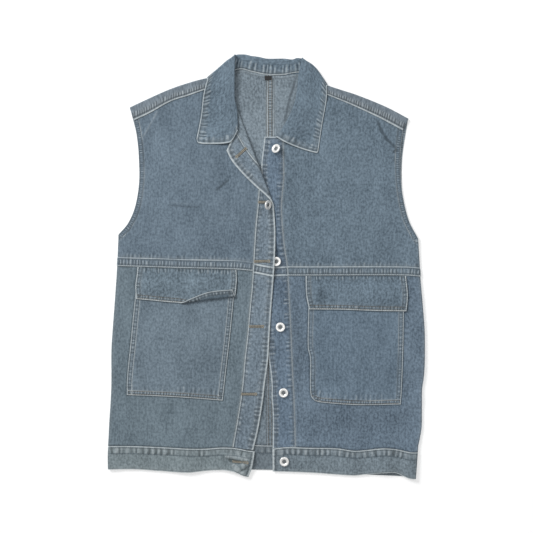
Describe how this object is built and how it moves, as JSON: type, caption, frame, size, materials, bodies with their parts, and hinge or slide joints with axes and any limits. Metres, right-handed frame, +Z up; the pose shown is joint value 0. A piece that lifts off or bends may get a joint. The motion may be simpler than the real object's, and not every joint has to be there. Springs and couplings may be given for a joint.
{
  "type": "denim vest",
  "caption": "Sleeveless denim jacket laid flat and face up, band front mostly open, collar open, a lapel rolled back, large flap pockets.",
  "frame": {"origin": "on the table, under the middle of the garment's outline", "axes": "+X towards the wearer's left, +Y from the hem to the collar, +Z up from the table"},
  "size_m": [0.5725, 0.7651, 0.0213],
  "materials": {
    "denim": "washed grey-blue cotton denim, matt, with a light fleck",
    "denim_bands": "the same denim doubled and topstitched, worn paler along folded edges and seams",
    "label": "plain black woven tape",
    "buttons": "nickel-plated, softly polished, with a dark sunken middle"
  },
  "bodies": {
    "root": {"back_right": "denim", "back_left": "denim", "right_front_upper": "denim", "left_front_upper": "denim", "right_front_lower": "denim", "left_front_lower": "denim", "collar": "denim", "right_pocket": "denim", "left_pocket": "denim", "right_placket": "denim_bands", "left_placket": "denim_bands", "hem_right": "denim_bands", "hem_left": "denim_bands", "hem_back": "denim_bands", "right_flap": "denim_bands", "left_flap": "denim_bands", "neck_label": "label", "button_1": "buttons", "button_2": "buttons", "button_3": "buttons", "button_4": "buttons", "button_5": "buttons", "button_6": "buttons"}
  },
  "joints": []
}
